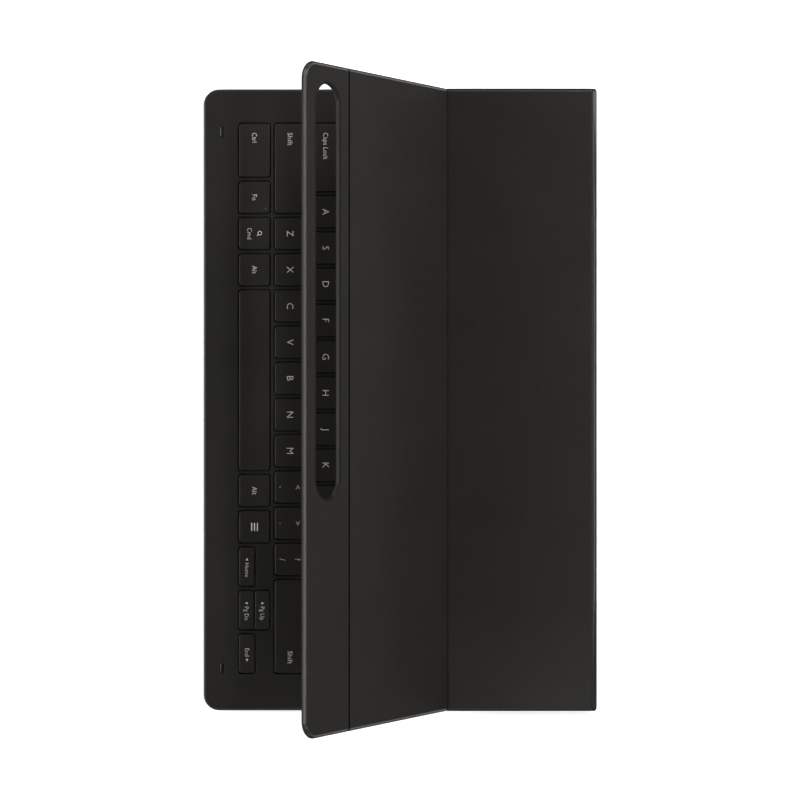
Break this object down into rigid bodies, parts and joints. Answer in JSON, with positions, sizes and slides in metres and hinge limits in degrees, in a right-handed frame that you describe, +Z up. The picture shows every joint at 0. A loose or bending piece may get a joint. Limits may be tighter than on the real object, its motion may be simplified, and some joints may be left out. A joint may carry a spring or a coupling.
{
  "type": "tablet keyboard case",
  "caption": "Slim folio keyboard case for a large tablet: a thin key deck, a hinged spine and a bevelled folding cover with a long pen slot.",
  "frame": {"origin": "on the table under the middle of the case, at the middle of its overall length and depth", "axes": "+X along the key rows from left to right, +Y from the front edge to the spine, +Z up"},
  "size_m": [0.327, 0.2062, 0.118],
  "materials": {
    "synthetic_leather": "fine matte grain",
    "microfibre": "short nap",
    "deck_plastic": "matte",
    "panel_polycarbonate": "satin",
    "key_plastic": "matte",
    "silicone_rubber": "matte",
    "magnet_steel": "plated",
    "aluminium_sheet": "mill",
    "polyester_film": "film",
    "connector_plastic": "moulded",
    "gold_plated_brass": "gold plated",
    "circuit_board": "solder mask"
  },
  "bodies": {
    "deck": {"bottom_skin": "synthetic_leather", "bottom_tray": "deck_plastic", "base_plate": "aluminium_sheet", "membrane_sheet": "polyester_film", "return_domes": "silicone_rubber", "top_frame": "deck_plastic", "dock_rail": "silicone_rubber", "pogo_housing": "connector_plastic", "dock_magnets": "magnet_steel", "controller_board": "circuit_board", "ribbon_cable": "polyester_film", "front_bumpers": "silicone_rubber"},
    "spine": {"spine_skin": "synthetic_leather", "spine_core": "panel_polycarbonate"},
    "lower_cover": {"lower_skin": "synthetic_leather", "lower_core": "panel_polycarbonate", "lower_lining": "microfibre", "crease_welt": "synthetic_leather"},
    "upper_cover": {"upper_skin": "synthetic_leather", "upper_core": "panel_polycarbonate", "upper_lining": "microfibre", "cover_magnets": "magnet_steel", "seam_welt": "synthetic_leather"},
    "pen_strip": {"strip_skin": "synthetic_leather", "strip_core": "panel_polycarbonate", "strip_lining": "microfibre", "strip_magnets": "magnet_steel", "slot_rim": "panel_polycarbonate"},
    "dock_contacts": {"pogo_pins": "gold_plated_brass"},
    "key_ctrl": {"key_ctrl": "key_plastic"},
    "key_fn": {"key_fn": "key_plastic"},
    "key_command": {"key_command": "key_plastic"},
    "key_alt_left": {"key_alt_left": "key_plastic"},
    "key_space": {"key_space": "key_plastic"},
    "key_alt_right": {"key_alt_right": "key_plastic"},
    "key_menu": {"key_menu": "key_plastic"},
    "key_arrow_left": {"key_arrow_left": "key_plastic"},
    "key_arrow_right": {"key_arrow_right": "key_plastic"},
    "key_arrow_up": {"key_arrow_up": "key_plastic"},
    "key_arrow_down": {"key_arrow_down": "key_plastic"},
    "key_shift_left": {"key_shift_left": "key_plastic"},
    "key_z": {"key_z": "key_plastic"},
    "key_x": {"key_x": "key_plastic"},
    "key_c": {"key_c": "key_plastic"},
    "key_v": {"key_v": "key_plastic"},
    "key_b": {"key_b": "key_plastic"},
    "key_n": {"key_n": "key_plastic"},
    "key_m": {"key_m": "key_plastic"},
    "key_comma": {"key_comma": "key_plastic"},
    "key_period": {"key_period": "key_plastic"},
    "key_slash": {"key_slash": "key_plastic"},
    "key_shift_right": {"key_shift_right": "key_plastic"},
    "home_row_keys": {"home_row_keys": "key_plastic"},
    "letter_row_keys": {"letter_row_keys": "key_plastic"},
    "number_row_keys": {"number_row_keys": "key_plastic"},
    "function_row_keys": {"function_row_keys": "key_plastic"}
  },
  "joints": [
    {"name": "spine_fold", "type": "hinge", "parent": "deck", "child": "spine", "pos_m": [0, 0.10188, 0.0015], "axis": [-1, 0, 0], "range_deg": [0, 90]},
    {"name": "cover_fold", "type": "hinge", "parent": "spine", "child": "lower_cover", "pos_m": [0, 0.10188, 0.01225], "axis": [-1, 0, 0], "range_deg": [0, 90]},
    {"name": "crease_fold", "type": "hinge", "parent": "lower_cover", "child": "upper_cover", "pos_m": [0, 0.02459, 0.013], "axis": [1, 0, 0], "range_deg": [-60, 56.4]},
    {"name": "strip_fold", "type": "hinge", "parent": "upper_cover", "child": "pen_strip", "pos_m": [0, -0.02499, 0.08763], "axis": [-1, 0, 0], "range_deg": [0, 90]},
    {"name": "contact_travel", "type": "slide", "parent": "deck", "child": "dock_contacts", "axis": [0, 0, -1], "range_m": [0, 0.0005], "stiffness_N_per_m": 800, "springref_m": -0.0005},
    {"name": "key_ctrl_travel", "type": "slide", "parent": "deck", "child": "key_ctrl", "axis": [0, 0, -1], "range_m": [0, 0.001], "stiffness_N_per_m": 400, "springref_m": -0.0005, "deforming": ["return_domes"]},
    {"name": "key_fn_travel", "type": "slide", "parent": "deck", "child": "key_fn", "axis": [0, 0, -1], "range_m": [0, 0.001], "stiffness_N_per_m": 400, "springref_m": -0.0005, "deforming": ["return_domes"]},
    {"name": "key_command_travel", "type": "slide", "parent": "deck", "child": "key_command", "axis": [0, 0, -1], "range_m": [0, 0.001], "stiffness_N_per_m": 400, "springref_m": -0.0005, "deforming": ["return_domes"]},
    {"name": "key_alt_left_travel", "type": "slide", "parent": "deck", "child": "key_alt_left", "axis": [0, 0, -1], "range_m": [0, 0.001], "stiffness_N_per_m": 400, "springref_m": -0.0005, "deforming": ["return_domes"]},
    {"name": "key_space_travel", "type": "slide", "parent": "deck", "child": "key_space", "axis": [0, 0, -1], "range_m": [0, 0.001], "stiffness_N_per_m": 400, "springref_m": -0.0005, "deforming": ["return_domes"]},
    {"name": "key_alt_right_travel", "type": "slide", "parent": "deck", "child": "key_alt_right", "axis": [0, 0, -1], "range_m": [0, 0.001], "stiffness_N_per_m": 400, "springref_m": -0.0005, "deforming": ["return_domes"]},
    {"name": "key_menu_travel", "type": "slide", "parent": "deck", "child": "key_menu", "axis": [0, 0, -1], "range_m": [0, 0.001], "stiffness_N_per_m": 400, "springref_m": -0.0005, "deforming": ["return_domes"]},
    {"name": "key_arrow_left_travel", "type": "slide", "parent": "deck", "child": "key_arrow_left", "axis": [0, 0, -1], "range_m": [0, 0.001], "stiffness_N_per_m": 400, "springref_m": -0.0005, "deforming": ["return_domes"]},
    {"name": "key_arrow_right_travel", "type": "slide", "parent": "deck", "child": "key_arrow_right", "axis": [0, 0, -1], "range_m": [0, 0.001], "stiffness_N_per_m": 400, "springref_m": -0.0005, "deforming": ["return_domes"]},
    {"name": "key_arrow_up_travel", "type": "slide", "parent": "deck", "child": "key_arrow_up", "axis": [0, 0, -1], "range_m": [0, 0.001], "stiffness_N_per_m": 400, "springref_m": -0.0005, "deforming": ["return_domes"]},
    {"name": "key_arrow_down_travel", "type": "slide", "parent": "deck", "child": "key_arrow_down", "axis": [0, 0, -1], "range_m": [0, 0.001], "stiffness_N_per_m": 400, "springref_m": -0.0005, "deforming": ["return_domes"]},
    {"name": "key_shift_left_travel", "type": "slide", "parent": "deck", "child": "key_shift_left", "axis": [0, 0, -1], "range_m": [0, 0.001], "stiffness_N_per_m": 400, "springref_m": -0.0005, "deforming": ["return_domes"]},
    {"name": "key_z_travel", "type": "slide", "parent": "deck", "child": "key_z", "axis": [0, 0, -1], "range_m": [0, 0.001], "stiffness_N_per_m": 400, "springref_m": -0.0005, "deforming": ["return_domes"]},
    {"name": "key_x_travel", "type": "slide", "parent": "deck", "child": "key_x", "axis": [0, 0, -1], "range_m": [0, 0.001], "stiffness_N_per_m": 400, "springref_m": -0.0005, "deforming": ["return_domes"]},
    {"name": "key_c_travel", "type": "slide", "parent": "deck", "child": "key_c", "axis": [0, 0, -1], "range_m": [0, 0.001], "stiffness_N_per_m": 400, "springref_m": -0.0005, "deforming": ["return_domes"]},
    {"name": "key_v_travel", "type": "slide", "parent": "deck", "child": "key_v", "axis": [0, 0, -1], "range_m": [0, 0.001], "stiffness_N_per_m": 400, "springref_m": -0.0005, "deforming": ["return_domes"]},
    {"name": "key_b_travel", "type": "slide", "parent": "deck", "child": "key_b", "axis": [0, 0, -1], "range_m": [0, 0.001], "stiffness_N_per_m": 400, "springref_m": -0.0005, "deforming": ["return_domes"]},
    {"name": "key_n_travel", "type": "slide", "parent": "deck", "child": "key_n", "axis": [0, 0, -1], "range_m": [0, 0.001], "stiffness_N_per_m": 400, "springref_m": -0.0005, "deforming": ["return_domes"]},
    {"name": "key_m_travel", "type": "slide", "parent": "deck", "child": "key_m", "axis": [0, 0, -1], "range_m": [0, 0.001], "stiffness_N_per_m": 400, "springref_m": -0.0005, "deforming": ["return_domes"]},
    {"name": "key_comma_travel", "type": "slide", "parent": "deck", "child": "key_comma", "axis": [0, 0, -1], "range_m": [0, 0.001], "stiffness_N_per_m": 400, "springref_m": -0.0005, "deforming": ["return_domes"]},
    {"name": "key_period_travel", "type": "slide", "parent": "deck", "child": "key_period", "axis": [0, 0, -1], "range_m": [0, 0.001], "stiffness_N_per_m": 400, "springref_m": -0.0005, "deforming": ["return_domes"]},
    {"name": "key_slash_travel", "type": "slide", "parent": "deck", "child": "key_slash", "axis": [0, 0, -1], "range_m": [0, 0.001], "stiffness_N_per_m": 400, "springref_m": -0.0005, "deforming": ["return_domes"]},
    {"name": "key_shift_right_travel", "type": "slide", "parent": "deck", "child": "key_shift_right", "axis": [0, 0, -1], "range_m": [0, 0.001], "stiffness_N_per_m": 400, "springref_m": -0.0005, "deforming": ["return_domes"]},
    {"name": "home_row_keys_travel", "type": "slide", "parent": "deck", "child": "home_row_keys", "axis": [0, 0, -1], "range_m": [0, 0.001], "stiffness_N_per_m": 5200, "springref_m": -0.0005, "deforming": ["return_domes"]},
    {"name": "letter_row_keys_travel", "type": "slide", "parent": "deck", "child": "letter_row_keys", "axis": [0, 0, -1], "range_m": [0, 0.001], "stiffness_N_per_m": 5600, "springref_m": -0.0005, "deforming": ["return_domes"]},
    {"name": "number_row_keys_travel", "type": "slide", "parent": "deck", "child": "number_row_keys", "axis": [0, 0, -1], "range_m": [0, 0.001], "stiffness_N_per_m": 5600, "springref_m": -0.0005, "deforming": ["return_domes"]},
    {"name": "function_row_keys_travel", "type": "slide", "parent": "deck", "child": "function_row_keys", "axis": [0, 0, -1], "range_m": [0, 0.001], "stiffness_N_per_m": 5600, "springref_m": -0.0005, "deforming": ["return_domes"]}
  ]
}
